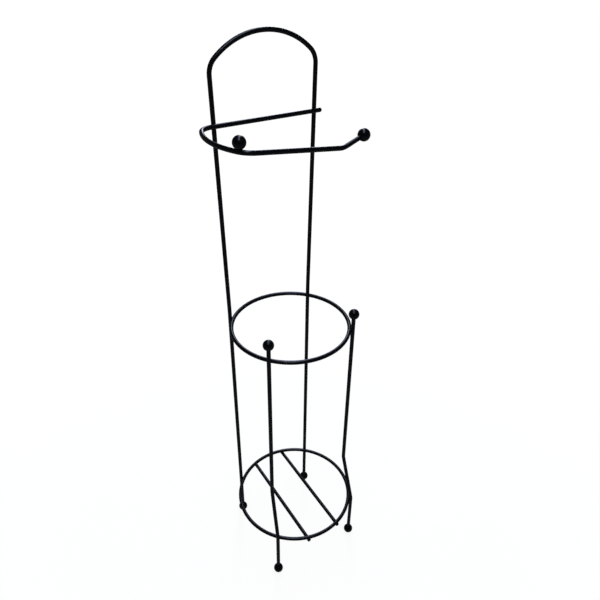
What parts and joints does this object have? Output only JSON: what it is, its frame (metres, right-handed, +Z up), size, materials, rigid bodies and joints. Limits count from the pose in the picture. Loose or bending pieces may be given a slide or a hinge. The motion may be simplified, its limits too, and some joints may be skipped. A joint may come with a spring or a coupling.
{
  "type": "toilet paper holder",
  "caption": "Free-standing toilet paper holder of welded black wire: arched rear hoop, looped roll arm, ringed column for spare rolls, and ball feet.",
  "frame": {"origin": "on the floor, midway between the left and right sides of the outline, in line with the base ring's centre from front to back", "axes": "+Z up, +Y to the back (the hoop side), +X to the right as seen from the front; the arm's free end points to +X"},
  "size_m": [0.1682, 0.1642, 0.6777],
  "materials": {
    "coated_wire": "satin black coating on steel wire",
    "coated_ball": "gloss black coating on steel balls",
    "coated_weld": "black coating over small weld beads"
  },
  "bodies": {
    "root": {"rear_hoop": "coated_wire", "middle_ring": "coated_wire", "base_ring": "coated_wire", "base_bar_left": "coated_wire", "base_bar_right": "coated_wire", "front_leg_left": "coated_wire", "front_leg_right": "coated_wire", "leg_ball_left": "coated_ball", "leg_ball_right": "coated_ball", "foot_ball_rear_left": "coated_ball", "foot_ball_rear_right": "coated_ball", "foot_ball_front_left": "coated_ball", "foot_ball_front_right": "coated_ball", "roll_arm": "coated_wire", "arm_stop_ball": "coated_ball", "arm_end_ball": "coated_ball", "weld_arm_left": "coated_weld", "weld_arm_right": "coated_weld", "weld_stop_ball": "coated_weld", "weld_middle_rear_left": "coated_weld", "weld_middle_rear_right": "coated_weld", "weld_middle_front_left": "coated_weld", "weld_middle_front_right": "coated_weld", "weld_base_rear_left": "coated_weld", "weld_base_rear_right": "coated_weld", "weld_base_front_left": "coated_weld", "weld_base_front_right": "coated_weld", "weld_bar_left_rear": "coated_weld", "weld_bar_left_front": "coated_weld", "weld_bar_right_rear": "coated_weld", "weld_bar_right_front": "coated_weld"}
  },
  "joints": []
}
